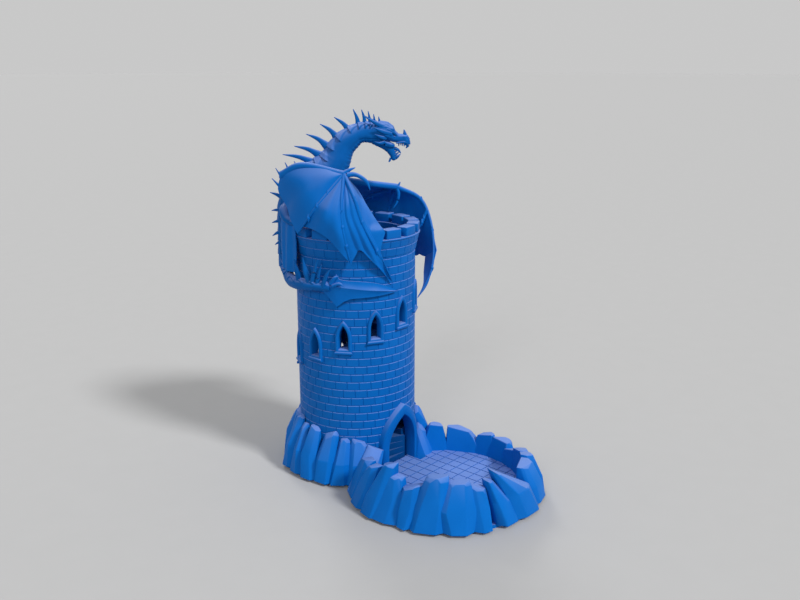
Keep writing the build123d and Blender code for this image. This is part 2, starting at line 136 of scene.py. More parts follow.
def finished(piece, name, body, nodes, material):
    settle(piece)
    piece.name = name
    piece.data.name = name
    piece.data.materials.clear()
    piece.data.materials.append(material)
    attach(piece, body)
    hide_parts(*nodes)
    return piece


# a grid whose rows are laid on the given loops of points; closed joins each row into a ring
def skin(name, loops, closed=True, caps=True):
    deselectAll()
    rows, columns = len(loops), len(loops[0]) + (1 if closed else 0)
    bpy.ops.mesh.primitive_grid_add(x_subdivisions=columns - 1, y_subdivisions=rows - 1, size=1)
    piece = bpy.context.object
    piece.name = name
    for index, vertex in enumerate(piece.data.vertices):
        row, column = divmod(index, columns)
        vertex.co = loops[row][column % len(loops[row])]
    cleanNormals(piece)
    if caps:
        fillHoles(piece)
        cleanNormals(piece)
    return piece


# points spread evenly in parameter on a smooth curve through the given ones
def along(points, count):
    ends = [points[0] * 2 - points[1]] + list(points) + [points[-1] * 2 - points[-2]]
    result = []
    for i in range(count):
        t = i / (count - 1) * (len(points) - 1)
        k = min(int(t), len(points) - 2)
        f = t - k
        a, b, c, d = ends[k:k + 4]
        result.append(0.5 * ((2 * b) + (c - a) * f + (2 * a - 5 * b + 4 * c - d) * f * f
                             + (3 * b - a - 3 * c + d) * f * f * f))
    return result


def blendValue(values, t):  # a value from an even list, t from 0 to 1
    place = t * (len(values) - 1)
    k = min(int(place), len(values) - 2)
    return values[k] + (values[k + 1] - values[k]) * (place - k)


# a ring of points across a direction
def ring(centre, forward, up, wide, high, sides):
    side = forward.cross(up).normalized()
    top = side.cross(forward).normalized()
    angles = [2 * math.pi * i / sides for i in range(sides)]
    return [centre + side * math.sin(angle) * wide + top * math.cos(angle) * high for angle in angles]


# a tapered tube along a smooth curve; flat under 1 thins it sideways
def tube(name, points, radii, sides, steps, flat=1.0):
    path = along([Vector(p) for p in points], steps)
    loops = []
    for i, centre in enumerate(path):
        forward = (path[min(i + 1, steps - 1)] - path[max(i - 1, 0)]).normalized()
        radius = blendValue(radii, i / (steps - 1)) * mm
        up = Vector((0, 0, 1)) if abs(forward.z) < 0.95 else dragonPoint(1, 0, 0).normalized()
        loops.append(ring(centre, forward, up, radius * flat, radius, sides))
    return skin(name, loops)


# a shader socket that Python's own operators work on
class Wire:

    def __init__(self, tree, socket):
        self.tree = tree
        self.socket = socket

    def maths(self, operation, *values):
        return self.tree.node("ShaderNodeMath", {"operation": operation}, dict(enumerate(values)))

    def __add__(self, other):
        return self.maths("ADD", self, other)

    def __radd__(self, other):
        return self.maths("ADD", other, self)

    def __sub__(self, other):
        return self.maths("SUBTRACT", self, other)

    def __rsub__(self, other):
        return self.maths("SUBTRACT", other, self)

    def __mul__(self, other):
        return self.maths("MULTIPLY", self, other)

    def __rmul__(self, other):
        return self.maths("MULTIPLY", other, self)

    def __truediv__(self, other):
        return self.maths("DIVIDE", self, other)

    def __rtruediv__(self, other):
        return self.maths("DIVIDE", other, self)


class Shader:
    def __init__(self, name, owner=None):
        self.owner = owner or bpy.data.materials.new(name)
        self.owner.use_nodes = True
        self.nodes = self.owner.node_tree.nodes
        self.links = self.owner.node_tree.links
        self.surface = self.nodes.get("Principled BSDF") or self.nodes["Background"]

    def plug(self, value, socket):
        if isinstance(value, Wire):
            self.links.new(value.socket, socket)
        else:
            socket.default_value = value

    def node(self, kind, settings=None, inputs=None, output=0):
        made = self.nodes.new(kind)
        for key, value in (settings or {}).items():
            setattr(made, key, value)
        for key, value in (inputs or {}).items():
            self.plug(value, made.inputs[key])
        return Wire(self, made.outputs[output])

    def mixed(self, factor, first, second):
        return self.node("ShaderNodeMix", {"data_type": "RGBA"}, {0: factor, 6: first, 7: second}, 2)


plasticLook = {
    "deep": (0.001, 0.1, 0.385, 1),
    "main": (0.0014, 0.12, 0.45, 1),
    "pale": (0.0024, 0.134, 0.49, 1),
    "upwardSheen": (0.17, 0.27, 0.62, 1),  # painted sheen: upward faces drawn paler, standing in for light falling from above
    # how strongly the painted sheen shows on upward faces
    "paintedSheen": 0.8,
    "roughness": 0.42,
    "roughnessSpread": 0.08,
    "layerHeight": 0.4,
    "grainSize": 1.4,
    "coursePitch": 7.05,  # height of a brick and its turn in degrees
    "brickTurn": 11.25,
}


# printed blue plastic: faint layer lines, a fine grain and slow changes of tone and gloss, with a painted
# sheen that makes upward faces paler
def plastic(name, tone=1.0, patches=35.0, layerBump=0.1, grainBump=0.06, bricks=False, paintedSheenShare=1.0):
    look = plasticLook
    shader = Shader(name)
    place = shader.node("ShaderNodeTexCoord", output="Object")
    x, y, z = [shader.node("ShaderNodeSeparateXYZ", inputs={0: place}, output=k) for k in range(3)]
    slow = shader.node("ShaderNodeTexNoise", None, {"Vector": place, "Scale": patches, "Detail": 3.0})
    grain = shader.node("ShaderNodeTexNoise", None,
                        {"Vector": place, "Scale": 1000 / look["grainSize"], "Detail": 4.0})
    layers = z.maths("SINE", z * (2000 * math.pi / look["layerHeight"]))
    mask = slow * 0.75 + grain * 0.25
    if bricks:  # each brick has a tone of its own
        course = (z * 1000 + 1) / look["coursePitch"]
        row = course.maths("FLOOR", course)
        turn = x.maths("ARCTAN2", y, x) * (180 / math.pi / look["brickTurn"]) - row / 3
        spot = shader.node("ShaderNodeCombineXYZ", None, {0: turn.maths("FLOOR", turn), 1: row})
        tint = shader.node("ShaderNodeTexWhiteNoise", {"noise_dimensions": "3D"}, {"Vector": spot})
        mask = mask * 0.7 + tint * 0.3
    deep, main, pale = (tuple(c * tone for c in look[shade][:3]) + (1,) for shade in ("deep", "main", "pale"))
    colour = shader.mixed(mask * mask, shader.mixed(mask, deep, main), pale)
    # painted sheen: faces that point up are mixed towards the paler colour, standing in for light from above
    facing = shader.node("ShaderNodeNewGeometry", output="Normal")
    upwardSheen = shader.node("ShaderNodeSeparateXYZ", inputs={0: facing}, output=2)
    paintedSheen = shader.node("ShaderNodeMapRange", {"interpolation_type": "SMOOTHSTEP"},
                        {0: upwardSheen, 1: 0.25, 2: 1.0, 3: 0.0, 4: look["paintedSheen"] * paintedSheenShare})
    colour = shader.mixed(paintedSheen, colour, look["upwardSheen"])
    shader.plug(colour, shader.surface.inputs["Base Color"])
    rough = look["roughness"] + (mask - 0.5) * look["roughnessSpread"]
    shader.plug(rough, shader.surface.inputs["Roughness"])
    height = layers * layerBump + grain * grainBump
    bump = shader.node("ShaderNodeBump", None, {"Strength": 0.25, "Distance": 0.00012, "Height": height})
    shader.plug(bump, shader.surface.inputs["Normal"])
    shader.surface.inputs["IOR"].default_value = 1.47
    shader.surface.inputs["Specular IOR Level"].default_value = 0.07
    return shader.owner


brickPlastic = plastic("brickPlastic", bricks=True)
smoothPlastic = plastic("smoothPlastic", patches=28)
rockPlastic = plastic("rockPlastic", tone=1.2, patches=45, grainBump=0.1)
# painted shade: the dragon's body, head, spines and legs get a darker copy of the plastic, as they sit in
# shade
shadedDragonPlastic = plastic("shadedDragonPlastic", tone=0.86, patches=60, layerBump=0.06)
# painted light: the wings and tail leaf get a lighter copy of the plastic, where they catch the light
litWingPlastic = plastic("litWingPlastic", tone=1.1, patches=60, layerBump=0.06)
# painted shade: the stairs inside the tower get a much darker copy of the plastic with little sheen, standing
# in for the dim interior
shadedInnerPlastic = plastic("shadedInnerPlastic", tone=0.42, patches=28, paintedSheenShare=0.3)
# painted light: the tray floor gets a lighter copy of the plastic, standing in for light falling on it from
# above
litFloorPlastic = plastic("litFloorPlastic", tone=1.05, patches=50, layerBump=0.0)
print("materials made")

tower = {
    "outer": 52.2, "inner": 45.5, "foot": 3.0, "top": 198.0,
    "columns": 96, "pitch": 7.05, "firstLine": -1.0,
    "mortarWidth": 0.52, "mortarSlope": 0.3, "mortarDepth": 0.45,
    "cutFrom": 42, "cutTo": 60,
}


# points of a pointed arch, x across and z up, from the left foot over the apex to the right foot
def pointedOutline(halfWidth, foot, spring, apex, count):
    rise = apex - spring
    bulge = (rise * rise - halfWidth * halfWidth) / (2 * halfWidth)  # each arc's centre beyond the middle
    radius = halfWidth + bulge
    sweep = math.atan2(rise, bulge)
    legs = max(2, count // 5)
    arc = count // 2 - legs
    side = [(-halfWidth, foot + (spring - foot) * i / legs) for i in range(legs)]
    for i in range(arc + 1):
        angle = math.pi - sweep * i / arc
        side.append((bulge + radius * math.cos(angle), spring + radius * math.sin(angle)))
    other = [(-x, z) for x, z in reversed(side[:-1])]
    return side + other


def onWall(azimuth, radius, x, z):  # a point of the wall, x millimetres round from an azimuth
    return polar(radius, azimuth + math.degrees(x / tower["outer"]), z)


# bevel the chosen edges into strips and sink the strips
def cutMortar(piece, isMortar, width, slope, depth):
    activate(piece)
    bpy.ops.object.mode_set(mode="EDIT")
    bpy.ops.mesh.select_mode(type="EDGE")
    bpy.ops.mesh.select_all(action="DESELECT")
    bpy.ops.object.mode_set(mode="OBJECT")
    mesh = piece.data
    for edge in mesh.edges:
        a, b = (mesh.vertices[i].co for i in edge.vertices)
        edge.select = isMortar(a, b)
    bpy.ops.object.mode_set(mode="EDIT")
    bpy.ops.mesh.bevel(offset=width * mm, offset_type="OFFSET", segments=1, affect="EDGES")
    bpy.ops.mesh.select_mode(type="FACE")
    bpy.ops.mesh.inset(thickness=slope * mm, depth=-depth * mm, use_boundary=False)
    bpy.ops.object.mode_set(mode="OBJECT")


def ringLoop(radius, height, columns):
    return [polar(radius, 360 * i / columns, height) for i in range(columns)]


def onJoint(middle, course):  # every third column, a column further round in each course
    column = round(math.degrees(math.atan2(middle.y, middle.x)) * tower["columns"] / 360)
    return (column - course) % 3 == 0


def turnOutward(piece):
    outward = sum(f.normal.dot(Vector((f.center.x, f.center.y, 0))) for f in piece.data.polygons)
    if outward < 0:
        activate(piece)
        bpy.ops.object.mode_set(mode="EDIT")
        bpy.ops.mesh.select_all(action="SELECT")
        bpy.ops.mesh.flip_normals()
        bpy.ops.object.mode_set(mode="OBJECT")


def brickTube():
    t = tower
    levels = [t["foot"]]
    height = t["firstLine"] + t["pitch"]
    while height < t["top"] - 0.5:
        levels.append(height)
        height += t["pitch"]
    levels.append(t["top"])
    piece = skin("brickTube", [ringLoop(t["outer"], z, t["columns"]) for z in levels], caps=False)
    turnOutward(piece)

    def isMortar(a, b):
        middle = (a + b) / 2 / mm
        if abs(a.z - b.z) < 1e-6:
            return levels[0] + 1 < middle.z < levels[-1] - 1
        return onJoint(middle, math.floor((middle.z - t["firstLine"]) / t["pitch"]))

    cutMortar(piece, isMortar, t["mortarWidth"], t["mortarSlope"], t["mortarDepth"])
    cleanNormals(piece)
    return piece


window = {
    "count": 12, "firstAzimuth": -28.8, "turn": 30.0, "firstApex": 74.8, "rise": 8.8,
    "height": 29.5, "halfWidth": 7.45, "opening": 4.0, "openingHeight": 20.3, "sill": 4.5, "spring": 13,
    # the frame's moulding from the opening outwards: spread and radius
    "moulding": [(0, 45.6), (0, 52.4), (0.25, 53.3), (0.9, 53.9), (1.7, 54.1), (2.5, 53.9), (3.1, 53.3),
                 (3.45, 52.3), (3.45, 45.6)],
    # the sill from the inside over the slope to the wall: half width, height over the foot, radius
    "sillEdges": [(4.2, 4.9, 46), (4.2, 4.6, 52.4), (7.7, 1.9, 55.0), (7.9, 0.1, 54.8), (7.2, 0.1, 46),
                  (4.2, 4.9, 46)],
    "sillBevel": 0.45,
}
door = {
    "azimuth": -90, "opening": 17.3, "frame": 7.2, "spring": 26.0, "apex": 55.5, "outerApex": 65.5,
    "foot": 3.0,
    "moulding": [(0, 45.6), (0, 55.9), (0.25, 56.6), (0.9, 57.0), (3.6, 57.15), (6.3, 57.0), (6.9, 56.6),
                 (7.2, 55.8), (7.2, 50), (7.2, 45.6)],
}


def wallCutter(azimuth, outline):
    radii = (tower["cutFrom"], tower["cutTo"])
    return skin("cutter", [[onWall(azimuth, radius, x, z) for x, z in outline] for radius in radii])


def brickWall():
    w, d = window, door
    wall = brickTube()
    fillHoles(wall)
    cleanNormals(wall)
    deselectAll()
    bpy.ops.mesh.primitive_cylinder_add(vertices=tower["columns"], radius=tower["inner"] * mm, depth=0.3,
                                        location=(0, 0, 0.1))
    cutters = [bpy.context.object]
    for k in range(w["count"]):
        apex = w["firstApex"] + k * w["rise"]
        foot = apex - w["height"]
        outline = pointedOutline(w["halfWidth"] - 0.3, foot + 0.4, foot + w["spring"], apex - 0.3, 24)
        cutters.append(wallCutter(w["firstAzimuth"] + k * w["turn"], outline))
    outline = pointedOutline(d["opening"] + d["frame"] - 0.3, -5, d["spring"], d["outerApex"] - 0.3, 36)
    cutters.append(wallCutter(d["azimuth"], outline))
    cutter = joined(cutters, "cutter")
    modify(wall, "BOOLEAN", operation="DIFFERENCE", object=cutter, solver="EXACT", use_self=True)
    bpy.data.objects.remove(cutter)
    return softened(wall, 24)


finished(brickWall(), "tower_wall", "tower",
         ["tower_shell_lower", "tower_shell_middle", "tower_shell_upper"], brickPlastic)
print("tower wall made")


def windowFrame(k):
    w = window
    azimuth = w["firstAzimuth"] + k * w["turn"]
    apex = w["firstApex"] + k * w["rise"]
    foot = apex - w["height"]
    openingApex = foot + w["sill"] + w["openingHeight"]
    loops = []
    for spread, radius in w["moulding"]:
        f = spread / (w["halfWidth"] - w["opening"])
        outline = pointedOutline(w["opening"] + spread, foot + w["sill"] * (1 - f), foot + w["spring"],
                                 openingApex + (apex - openingApex) * f, 30)
        loops.append([onWall(azimuth, radius, x, z) for x, z in outline])
    loops.append(loops[0])
    frame = skin("frame", loops, caps=False)
    strips = [[onWall(azimuth, radius, x, foot + z) for x in (-half, half)] for half, z,
              radius in w["sillEdges"]]
    sill = skin("sill", strips, closed=False)
    modify(sill, "BEVEL", width=w["sillBevel"] * mm, segments=2, angle_limit=math.radians(25))
    both = softened(joined([frame, sill], "frame"), 40)
    number = "%02d" % (k + 1)
    finished(both, "window_" + number, "tower", ["window_frame_" + number], smoothPlastic)


for k in range(window["count"]):
    windowFrame(k)
print("windows made")


def doorArch():
    d = door
    loops = []
    for spread, radius in d["moulding"]:
        outline = pointedOutline(d["opening"] + spread, d["foot"], d["spring"],
                                 d["apex"] + (d["outerApex"] - d["apex"]) * spread / d["frame"], 52)
        loops.append([onWall(d["azimuth"], radius, x * tower["outer"] / radius, z) for x, z in outline])
    loops.append(loops[0])
    arch = skin("arch", loops, closed=False)
    finished(softened(arch, 40), "door_arch_moulding", "tower", ["door_arch"], smoothPlastic)


doorArch()
print("door arch made")

crown = {
    "foot": 198.0, "inner": 42.2, "lowJoint": 205.0, "lowCourse": 28,
    "bands": [(198.0, 52.25), (198.3, 52.9), (205.0, 54.3), (211.2, 55.7)],  # height and radius
    "ledge": [(211.5, 56.1), (212.1, 56.5), (212.8, 56.4), (213.3, 55.7), (213.3, 50)],
    "mortarWidth": 0.5, "mortarSlope": 0.3, "mortarDepth": 0.45,
}
merlon = {
    "count": 16, "firstAzimuth": -78.75, "inner": 45.3, "outer": 55.6, "width": 15.2, "foot": 213.0,
    "height": 8.0, "bevel": 1.0,
}


def crownRing():
    c = crown
    profile = c["bands"] + c["ledge"] + [(213.3, c["inner"]), (c["foot"], c["inner"]), (c["foot"], 47)]
    profile.append(profile[0])
    piece = skin("crown", [ringLoop(radius, z, tower["columns"]) for z, radius in profile], caps=False)

    def isMortar(a, b):
        middle = (a + b) / 2 / mm
        if math.hypot(middle.x, middle.y) < 52 or middle.z > 211.25:
            return False
        if abs(a.z - b.z) < 1e-6:
            return middle.z > c["lowJoint"] - 1
        above = middle.z > c["lowJoint"]
        return middle.z > c["foot"] + 0.4 and onJoint(middle, c["lowCourse"] + above)

    cutMortar(piece, isMortar, c["mortarWidth"], c["mortarSlope"], c["mortarDepth"])
    finished(softened(piece, 30), "crown_ring", "crown", ["crown_corbel", "crown_ledge"], brickPlastic)


def merlonRing():
    m = merlon
    stones = []
    for k in range(m["count"]):
        deselectAll()
        azimuth = m["firstAzimuth"] + 360 / m["count"] * k
        middle = polar((m["inner"] + m["outer"]) / 2, azimuth, m["foot"] + m["height"] / 2)
        bpy.ops.mesh.primitive_cube_add(size=1, location=middle, rotation=(0, 0, math.radians(azimuth)))
        stone = bpy.context.object
        stone.scale = Vector((m["outer"] - m["inner"], m["width"], m["height"])) * mm
        settle(stone)
        stones.append(stone)
    piece = joined(stones, "merlons")
    modify(piece, "BEVEL", width=m["bevel"] * mm, segments=3)
    finished(softened(piece, 50), "crown_merlons", "crown", ["merlons"], smoothPlastic)


crownRing()
merlonRing()
print("crown made")

tray = {"centre": Vector((0, -105 * mm, 0)), "inner": 61, "topDepth": 9, "firstSeed": 3}
towerFoot = {"centre": Vector((0, 0, 0)), "inner": 53, "topDepth": 4.5, "firstSeed": 11}
chip = {"corner": (0.5, 1.7), "recess": (3.2, 5.2), "lean": 24, "bevel": 1.2}

# each rock: the foot's two azimuths and radius; the waist's two azimuths, radius and height;
# the top's two azimuths, radius and two heights
trayRocks = {
    "tray_rocks_left": [
        (134, 149, 85, 137, 151, 79, 22, 141, 152, 74, 36, 38),
        (145, 162, 86, 149, 164, 80, 22, 156, 165, 75, 38, 40),
        (158, 174, 86, 162, 178, 80, 25, 170, 181, 74, 45, 49),
        (164, 187, 84, 166, 188, 78, 20, 173, 186, 73, 40, 38)],
    "tray_rocks_front": [
        (185, 197, 82, 184, 201, 78, 18, 186, 201, 74, 31, 37),
        (194, 216, 83, 197, 218, 79, 22, 203, 218, 73, 44, 46),
        (215, 233, 83, 210, 236, 80, 20, 217, 232, 73, 41, 41),
        (233, 252, 81.5, 231, 248, 78, 18, 231, 243, 73, 38, 34),
        (249, 267, 81, 245, 259, 78, 22, 241, 247, 73, 41, 40),
        (261, 290, 82.5, 254, 278, 80, 26, 245, 254, 73, 49, 43)],
    "tray_rocks_right": [
        (284, 304, 82, 281, 302, 79, 18, 281, 296, 71, 35, 38),
        (300, 319, 82, 298, 317, 79, 18, 297, 313, 70, 39, 34),
        (315, 334, 81, 313, 332, 78, 17, 312, 328, 69, 35, 30),
        (330, 349, 80, 328, 347, 77, 15, 327, 344, 70, 28, 22)],
    "tray_rocks_rear": [
        (343, 364, 79, 342, 363, 77, 14, 344, 359, 74, 26, 27),
        (360, 377, 79, 359, 376, 77, 14, 360, 373, 74, 28, 25),
        (373, 400, 79, 372, 399, 77, 15, 379, 398, 74, 26, 30),
        (397, 420, 78, 399, 418, 77, 16, 402, 413, 72, 31, 33)],
}
towerRocks = {
    "tower_rocks_left": [
        (147, 161, 71, 148, 162, 68, 24, 151, 161, 57, 47, 52),
        (158, 175, 70, 159, 174, 67, 24, 162, 170, 57, 45, 46),
        (172, 189, 70, 171, 188, 67, 22, 175, 186, 57, 47, 46),
        (186, 203, 70, 187, 205, 67, 22, 191, 206, 57, 42, 47),
        (200, 216, 69, 201, 218, 66, 20, 207, 216, 57, 40, 40),
        (213, 233, 69, 214, 235, 66, 20, 218, 232, 57, 40, 36),
        (216, 233, 82, 223, 240, 75, 20, 232, 246, 62, 36, 29)],
    "tower_rocks_rear": [
        (44, 60, 70, 45, 61, 67, 22, 47, 58, 57, 42, 45),
        (57, 74, 70, 58, 74, 67, 24, 61, 71, 57, 46, 44),
        (71, 90, 70, 72, 89, 67, 21, 75, 86, 57, 40, 43),
        (87, 104, 70, 88, 105, 67, 23, 91, 102, 57, 47, 45),
        (101, 119, 70, 102, 119, 67, 22, 105, 116, 57, 43, 46),
        (116, 134, 70, 117, 134, 67, 24, 120, 132, 57, 45, 41),
        (131, 150, 65.5, 132, 150, 62.5, 24, 134, 149, 55.5, 50, 46)],
    "tower_rocks_right": [
        (-67, -50, 71, -65, -50, 67, 14, -59, -50, 59, 30, 38),
        (-53, -37, 71, -52, -37, 67, 22, -53, -43, 57, 42, 50),
        (-40, -22, 70, -39, -22, 67, 21, -36, -26, 57, 44, 40),
        (-26, -7, 70, -25, -7, 67, 22, -22, -11, 57, 42, 46),
        (-10, 10, 70, -9, 9, 67, 20, -6, 6, 57, 41, 43),
        (7, 27, 70, 8, 27, 67, 23, 11, 23, 57, 46, 43),
        (24, 46, 70, 25, 46, 67, 21, 28, 42, 57, 41, 44)],
}


def rock(place, numbers, seed):
    foot0, foot1, footRadius, waist0, waist1, waistRadius, waistHeight = numbers[:7]
    top0, top1, topRadius, height0, height1 = numbers[7:]
    dice = random.Random(seed)
    rings = [
        (2.2, 2.2, foot0, foot1, place["inner"], footRadius),
        (waistHeight, waistHeight, waist0, waist1, place["inner"] + 1, waistRadius),
        (height0, height1, top0, top1, topRadius - place["topDepth"], topRadius)]
    loops = []
    for low, high, first, last, inner, outer in rings:
        recess = dice.uniform(*chip["recess"]) if low < topRadius else 2.5
        near, far = (first + (last - first) * dice.uniform(*span) for span in ((0.2, 0.32), (0.66, 0.8)))
        tilt = dice.uniform(-1.2, 1.2)
        corners = [
            (inner, first, low), (outer - recess, first, low),
            (outer - tilt, near, low + (high - low) * 0.25), (outer + tilt, far, low + (high - low) * 0.75),
            (outer - recess, last, high), (inner, last, high)]
        loops.append([polar(*corner) + place["centre"] for corner in corners])
    stone = skin("stone", loops)
    activate(stone)
    bpy.ops.object.mode_set(mode="EDIT")
    crest = loops[2]
    heart = (crest[0] + crest[2] + crest[5]) / 3
    leaning = abs(top0 + top1 - foot0 - foot1) > chip["lean"]
    for corner in () if leaning else (crest[1], crest[4], crest[2], crest[3]):
        depth = dice.uniform(*chip["corner"])
        normal = (corner - heart).normalized() + Vector((0, 0, dice.uniform(0.5, 1.3)))
        normal = (normal + Vector([dice.uniform(-0.25, 0.25) for axis in range(3)])).normalized()
        bpy.ops.mesh.select_all(action="SELECT")
        bpy.ops.mesh.bisect(plane_co=corner - normal * depth * mm, plane_no=normal, use_fill=True,
                            clear_outer=True)
    bpy.ops.object.mode_set(mode="OBJECT")
    cleanNormals(stone)
    modify(stone, "BEVEL", width=chip["bevel"] * mm, segments=2, angle_limit=math.radians(14))
    return stone


for place, groups in ((tray, trayRocks), (towerFoot, towerRocks)):
    for seed, (name, rows) in enumerate(groups.items(), start=place["firstSeed"]):
        stones = [rock(place, numbers, seed * 31 + k) for k, numbers in enumerate(rows)]
        finished(softened(joined(stones, name), 16), name + "_stones", "base", [name], rockPlastic)
print("rocks made")

winders = {
    "newel": (12, -46.8), "under": 8, "wallRadius": 45.2, "columnRadius": 10.2, "last": -197, "bevel": 0.4,
    # the nose of each step at the wall, and the height of its top
    "steps": [((-17, -46.2), 13.5), ((-20, -40.2), 18.8), ((-23.4, -34.3), 24.2), ((-24, -30.4), 29.6)],
}


def windingSteps():
    w = winders
    steps = []
    for (x, y), height in w["steps"]:
        azimuth = math.degrees(math.atan2(y, x))
        outline = [Vector((*w["newel"], 0)) * mm, Vector((x, y, 0)) * mm]
        outline += [polar(w["wallRadius"],
                          azimuth - (azimuth - w["last"]) * f) for f in (0.1, 0.3, 0.5, 0.7, 0.9)]
        outline += [polar(w["columnRadius"], a) for a in (w["last"], -160, -125, -95)]
        step = skin("step", [[p + Vector((0, 0, z * mm)) for p in outline] for z in (w["under"], height)])
        modify(step, "BEVEL", width=w["bevel"] * mm, segments=2, angle_limit=math.radians(40))
        steps.append(step)
    finished(softened(joined(steps, "steps"), 30), "winding_steps", "tower", ["stair_winders"], shadedInnerPlastic)


windingSteps()
print("winding steps made")

# the inner stairs take the darker painted-shade plastic, the tray floor the lighter painted-light copy
for name, material in {
    "base_plate": rockPlastic, "locating_disc": smoothPlastic, "tray_floor": litFloorPlastic,
    "stair_column": shadedInnerPlastic, "stair_flight_lower": shadedInnerPlastic,
    "stair_flight_middle": shadedInnerPlastic, "stair_flight_upper": shadedInnerPlastic, "crown_skirt": smoothPlastic,
}.items():
    node = frame["nodes"][name]
    node.data.materials.clear()
    node.data.materials.append(material)

body = {
    "rings": 420, "sides": 96,
    # forward, side, height, half width, half height, how upright the back stands
    "stations": [
        (22, 0, 295.6, 6.6, 7.6, 0), (14.5, 0, 295.5, 6.8, 7.8, 0), (8.5, 0, 295.8, 6.6, 7.6, 0),
        (2.8, 0, 294.4, 7.0, 7.6, 0), (-2.4, 0, 290.9, 7.8, 8.8, 0), (-8.0, 0, 285.9, 8.6, 9.6, 0),
        (-12.0, 0, 280.0, 9.8, 10.8, 0), (-15.4, 0, 273.2, 11.4, 12.2, 0), (-20.4, 0, 266.3, 13.0, 13.2, 0),
        (-29, 0, 261.3, 14.0, 12.6, 0), (-39, 0, 256.8, 13.5, 12.2, 0), (-48, 0, 249, 12.0, 11.5, 0),
        (-54.2, 0, 239, 10.0, 9.4, 0), (-58.6, 0, 228, 8.6, 6.6, 0), (-60.9, 0, 216, 8.0, 4.7, 0),
        (-61.4, 0, 204, 7.2, 4.6, 0), (-61.6, 0, 193, 5.6, 4.6, 0), (-60.6, -3.4, 184, 5.0, 4.8, 0.25),
        (-58.6, -9.8, 176.6, 4.8, 4.8, 0.8), (-55.4, -19.5, 173.0, 4.6, 4.7, 1),
        (-49.6, -30.5, 172.8, 4.4, 4.6, 1),
        (-41.8, -40.2, 173.8, 4.1, 4.3, 1), (-32.2, -47.6, 174.8, 3.6, 3.9, 1),
        (-21.5, -52.6, 174.4, 2.4, 3.2, 1)],
}


# foot and tip of each spine: forward, height, foot radius, bow
neckSpines = [
    ((-33, 270), (-60.8, 278.1), 2.9, -1.8), ((-27.5, 276), (-50.9, 285.1), 2.9, -1.8),
    ((-22, 284), (-40.5, 295.1), 2.8, -1.6), ((-13.5, 291), (-28.6, 303.4), 2.8, -1.4),
    ((-3, 296.5), (-16.7, 309.1), 2.7, -1.2), ((4, 299.5), (-0.6, 315.7), 2.4, -1.0),
    ((9.2, 301), (6.5, 315.2), 2.1, -0.8), ((13.4, 301.5), (12, 314), 1.7, -0.5),
    ((17.2, 301.5), (16.6, 311.5), 1.5, -0.4), ((21.2, 301), (20.8, 309.4), 1.7, -0.5)]
backSpines = [
    ((-46, 262), (-51.3, 272.5), 1.6, 0), ((-52, 256), (-59, 271.5), 1.7, 0),
    ((-57, 250), (-67.1, 266.7), 1.8, 0),
    ((-59.5, 246), (-70.6, 258), 1.8, 0), ((-60.5, 240), (-72.6, 246), 2.3, -0.8),
    ((-61.5, 230), (-71.9, 230.3), 2.2, -0.7), ((-62, 221), (-71.9, 219.7), 2.2, -0.7),
    ((-62.5, 212), (-71.9, 208.2), 2.2, -0.8), ((-62.8, 203.5), (-70, 200.3), 1.9, -0.6)]


# extra height of the skin: travel along the body in mm, angle from the back
def bodyRelief(travel, angle, size, plates):
    side = abs(math.atan2(math.sin(angle), math.cos(angle)))  # 0 at the back, pi under the belly
    under = max(0.0, min(1.0, (side - 2.2) / 0.2))
    k = max(i for i, start in enumerate(plates) if start <= travel)
    phase = min(1.0, (travel - plates[k]) / (plates[k + 1] - plates[k])) if k + 1 < len(plates) else 0.0
    spread = 0.5 + 0.62 * phase ** 1.6
    plate = max(0.0, min(1.0, (spread - side) / 0.07)) * (0.7 + 1.1 * phase)
    belly = (travel / 3.6) % 1.0
    muscle = 0.3 * math.sin(travel / 5.1 + side * 2.2) * max(0.0, 1 - abs(side - 1.5) / 0.8)
    seam = max(0.0, 1 - abs(side - 2.2) / 0.15)
    crest = max(0.0, 1 - side / 0.3)
    relief = plate + muscle * (1 - under) + under * 0.5 * (1 - belly) - 0.3 * seam + 0.9 * crest
    return relief * min(1.0, size / 7.5)


def dragonBody():
    b = body
    count = b["rings"]
    centre = along([Vector(s[:3]) for s in b["stations"]], count)
    travels = [0.0]
    for k in range(1, count):
        travels.append(travels[-1] + (centre[k] - centre[k - 1]).length)
    plates = [-20.0]
    for root, tip, radius, bow in list(reversed(neckSpines)) + backSpines[4:]:
        foot = Vector((root[0], 0, root[1]))
        plates.append(travels[min(range(count), key=lambda k: (centre[k] - foot).length)])
    plates += [plates[-1] + 11 * (i + 1) for i in range(14)]
    loops = []
    for k in range(count):
        t = k / (count - 1)
        forward = (centre[min(k + 1, count - 1)] - centre[max(k - 1, 0)]).normalized()
        wide, high, upright = (blendValue([s[i] for s in b["stations"]], t) for i in (3, 4, 5))
        lean = Vector((forward.z, 0, -forward.x)).normalized()
        back = (lean * (1 - upright) + Vector((0, 0, 1)) * upright).normalized()
        side = forward.cross(back).normalized()
        back = side.cross(forward).normalized()
        loop = []
        for i in range(b["sides"]):
            angle = 2 * math.pi * i / b["sides"]
            extra = bodyRelief(travels[k], angle, high, plates)
            across, up = side * math.sin(angle), back * math.cos(angle)
            loop.append(dragonPoint(*(centre[k] + across * (wide + extra) + up * (high + extra))))
        loops.append(loop)
    piece = skin("dragonBody", loops)
    return finished(softened(piece, 60), "dragon_body", "crown",
                    ["dragon_torso", "dragon_neck", "dragon_tail"],
                    shadedDragonPlastic)


dragonBody()
print("dragon body made")


def horn(name, points, radii, sides, steps, flat):
    return tube(name, [dragonPoint(*p) for p in points], radii, sides, steps, flat)


def bentLine(root, tip, bow):  # three points, the middle one bowed up across the line
    a, b = Vector(root), Vector(tip)
    middle = (a + b) / 2
    across = (b - a).cross(Vector((0, 1, 0))).normalized()
    return [a, middle + across * bow, b]


